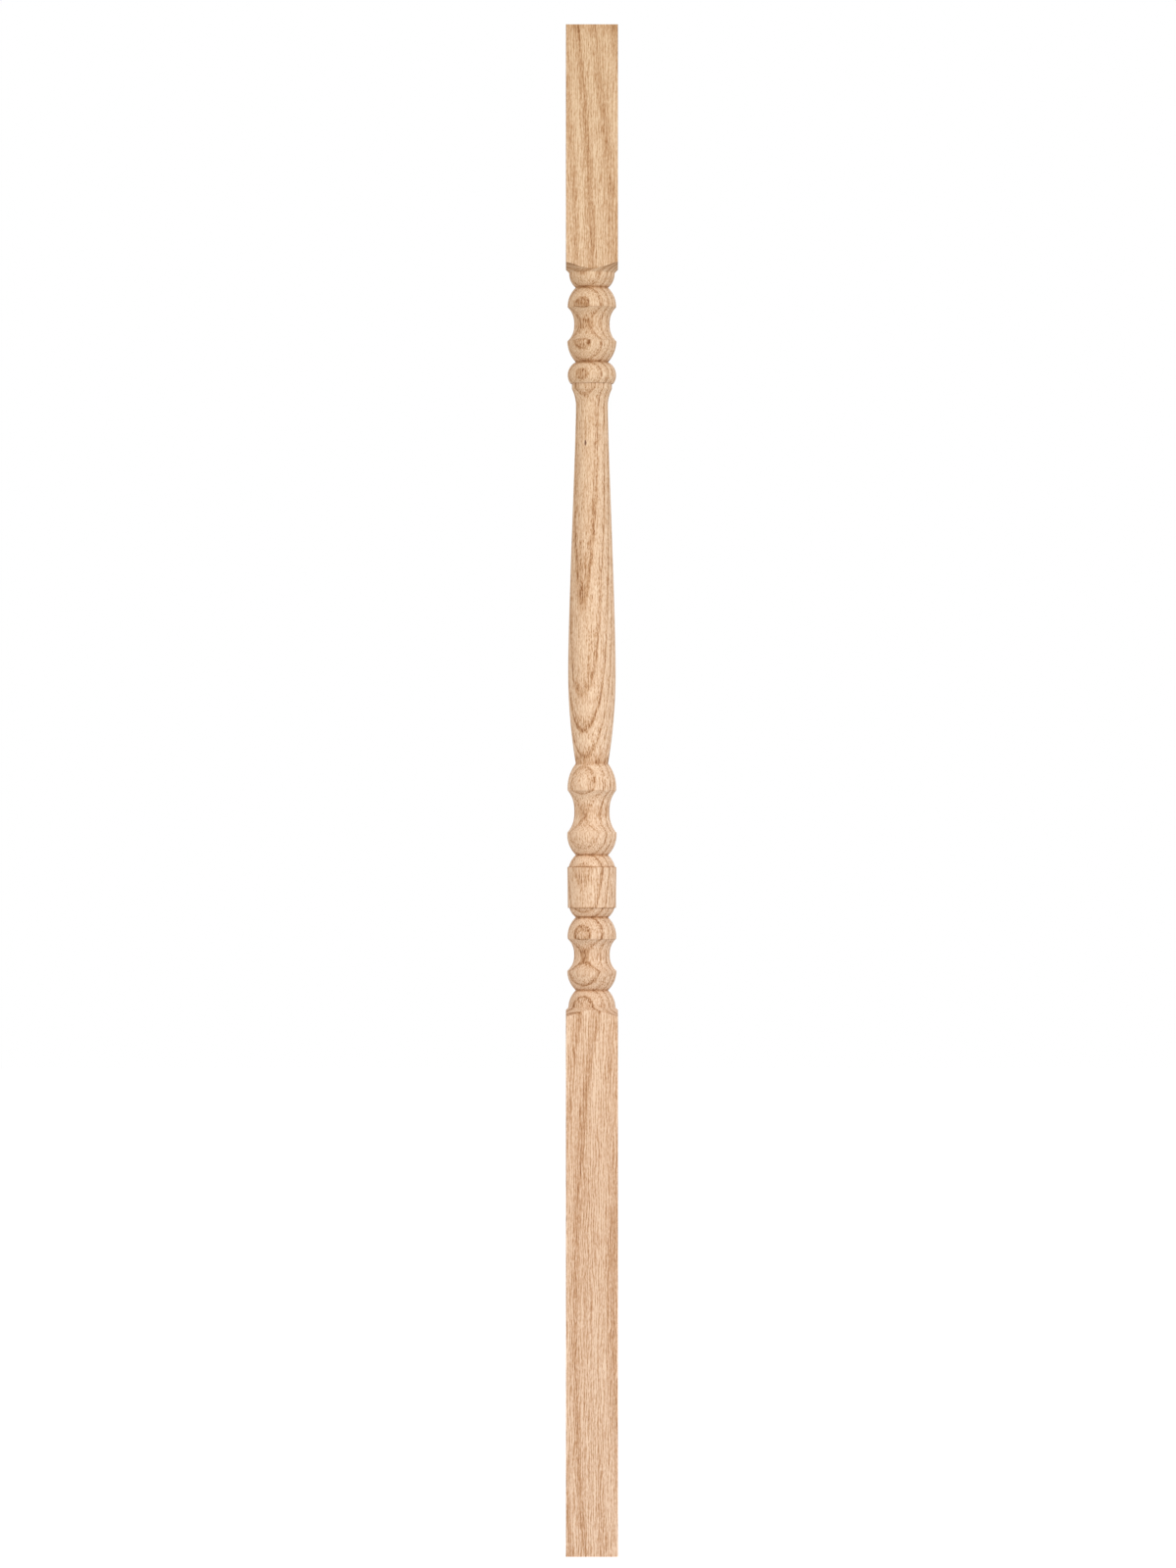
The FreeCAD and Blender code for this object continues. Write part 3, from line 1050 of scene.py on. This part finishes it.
@dataclass
class Studio:
    """White floor, soft light and the camera.

    Attributes:
        distance: Distance of the camera from the bar's axis.
        eye_height: Height of the camera.
        aim: Point of the axis plane at the middle of the picture.
        frame_height: Height that the picture covers at the axis.
        sensor: Width of the camera's sensor, in millimetres.
        clip_end: Farthest distance that the camera sees.
        floor_size: Side of the floor.
        floor_white: Colour of the floor.
        floor_glow: Light that the floor adds where the camera sees it.
        world_light: Light of the room on the bar, where 1 is full white.
        lamps: The three lamps.
    """

    distance: float = 5.72
    eye_height: float = 0.404
    aim: tuple[float, float, float] = (-0.00254, 0.0, 0.49913)
    frame_height: float = 1.01631
    sensor: float = 36.0
    clip_end: float = 100.0
    floor_size: float = 40.0
    floor_white: Colour = (0.6, 0.6, 0.6, 1.0)
    floor_glow: float = 0.75
    world_light: float = 0.68
    lamps: tuple[Lamp, ...] = (
        Lamp("key", (2.3, -2.6, 1.5), 1.4, 60.0, (1.0, 1.0, 1.0)),
        Lamp("fill", (-2.6, -2.2, 1.0), 1.8, 34.0, (1.0, 0.88, 0.72)),
        Lamp("back", (0.5, 3.2, 1.8), 2.0, 34.0, (1.0, 1.0, 1.0)),
    )

    def look(self, thing: bpy.types.Object, place: Sequence[float]) -> float:
        """Puts a camera or lamp in its place, turns it to the aim and returns its distance from there."""
        bpy.context.scene.collection.objects.link(thing)
        thing.location = place
        sight = Vector(self.aim) - thing.location
        thing.rotation_euler = sight.to_track_quat("-Z", "Y").to_euler()
        return sight.length

    def camera(self) -> None:
        """Makes the camera, level with the lower turning and aimed at the middle of the bar."""
        data = bpy.data.cameras.new("camera")
        camera = bpy.data.objects.new("camera", data)
        reach = self.look(camera, (self.aim[0], -self.distance, self.eye_height))
        data.sensor_width = self.sensor
        data.lens = self.sensor * reach / self.frame_height
        data.clip_end = self.clip_end
        bpy.context.scene.camera = camera

    def light(self, lamp: Lamp) -> None:
        """Makes one lamp that looks at the middle of the bar."""
        data = bpy.data.lights.new(lamp.name, "AREA")
        data.color = lamp.colour
        data.size = lamp.size
        data.energy = lamp.power
        self.look(bpy.data.objects.new(lamp.name, data), lamp.place)

    def world(self) -> None:
        """Makes an even white room, at full white to the camera and at a plain level to the bar."""
        world = bpy.data.worlds.new("studio")
        world.use_nodes = True
        graph = Graph(world.node_tree)
        path = graph.node("ShaderNodeLightPath", {}, {}, "Is Camera Ray")
        strength = path * (1.0 - self.world_light) + self.world_light
        room = graph.node("ShaderNodeBackground", {}, {"Color": WHITE, "Strength": strength})
        graph.node("ShaderNodeOutputWorld", {}, {"Surface": room})
        bpy.context.scene.world = world

    def floor_material(self) -> bpy.types.Material:
        """Makes the floor's finish, which shows white to the camera except where the bar shades it."""
        made = bpy.data.materials.new("white_floor")
        made.use_nodes = True
        graph = Graph(made.node_tree)
        path = graph.node("ShaderNodeLightPath", {}, {}, "Is Camera Ray")
        matt = graph.node("ShaderNodeBsdfDiffuse", {}, {"Color": self.floor_white})
        glow = graph.node("ShaderNodeEmission", {}, {"Color": WHITE, "Strength": path * self.floor_glow})
        both = graph.node("ShaderNodeAddShader", {}, {0: matt, 1: glow})
        graph.node("ShaderNodeOutputMaterial", {}, {"Surface": both})
        return made

    def floor(self) -> None:
        """Makes the floor that the bar stands on."""
        half = self.floor_size / 2
        corners = [(-half, -half, 0.0), (half, -half, 0.0), (half, half, 0.0), (-half, half, 0.0)]
        mesh = bpy.data.meshes.new("floor")
        mesh.from_pydata(corners, [], [(0, 1, 2, 3)])
        mesh.materials.append(self.floor_material())
        floor = bpy.data.objects.new("floor", mesh)
        bpy.context.scene.collection.objects.link(floor)

    def build(self) -> None:
        """Makes the whole studio and sets the plain view transform."""
        self.camera()
        self.world()
        self.floor()
        for lamp in self.lamps:
            self.light(lamp)
        bpy.context.scene.view_settings.view_transform = "Standard"


def main() -> None:
    """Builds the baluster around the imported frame, then the studio."""
    logging.basicConfig(level=logging.INFO, format="%(name)s: %(message)s")
    for old in list(bpy.data.objects):
        bpy.data.objects.remove(old)
    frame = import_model()
    baluster = Baluster()
    piece = baluster.build()
    baluster.dress(piece, OakFinish())
    LOG.info("%s: %d points, stands for %s", piece.name, len(piece.data.vertices), sorted(frame["nodes"]))
    Studio().build()


if __name__ == "__main__":
    main()
